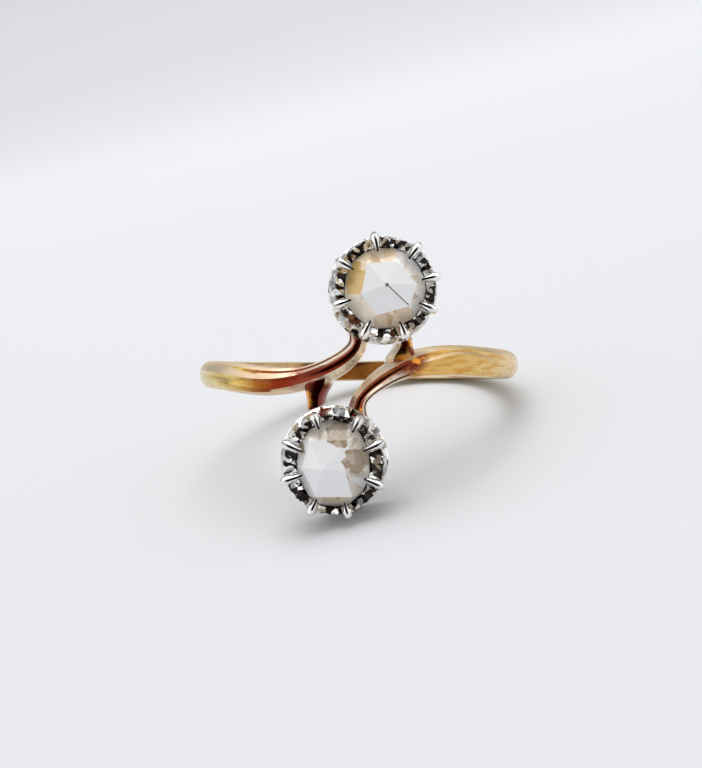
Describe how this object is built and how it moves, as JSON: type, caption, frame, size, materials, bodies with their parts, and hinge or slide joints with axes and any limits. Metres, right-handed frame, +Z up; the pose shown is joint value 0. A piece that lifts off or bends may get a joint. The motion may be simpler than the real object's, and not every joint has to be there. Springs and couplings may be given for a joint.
{
  "type": "toi et moi ring",
  "caption": "Old toi et moi crossover ring: a gold shank whose shoulders sweep past each other, with rose cut stones in clawed white metal collets.",
  "frame": {"origin": "middle of the finger hole, on its axis and midway along the shank's width", "axes": "+Z up from the surface on which the ring lies, -Y towards the stones, +X to the right seen from the stones' side"},
  "size_m": [0.0195, 0.0231, 0.0151],
  "materials": {
    "yellow_gold": "polished",
    "white_gold": "polished",
    "diamond": "polished"
  },
  "bodies": {
    "root": {"shank": "yellow_gold", "upper_setting": "white_gold", "lower_setting": "white_gold", "upper_stone": "diamond", "lower_stone": "diamond"}
  },
  "joints": []
}
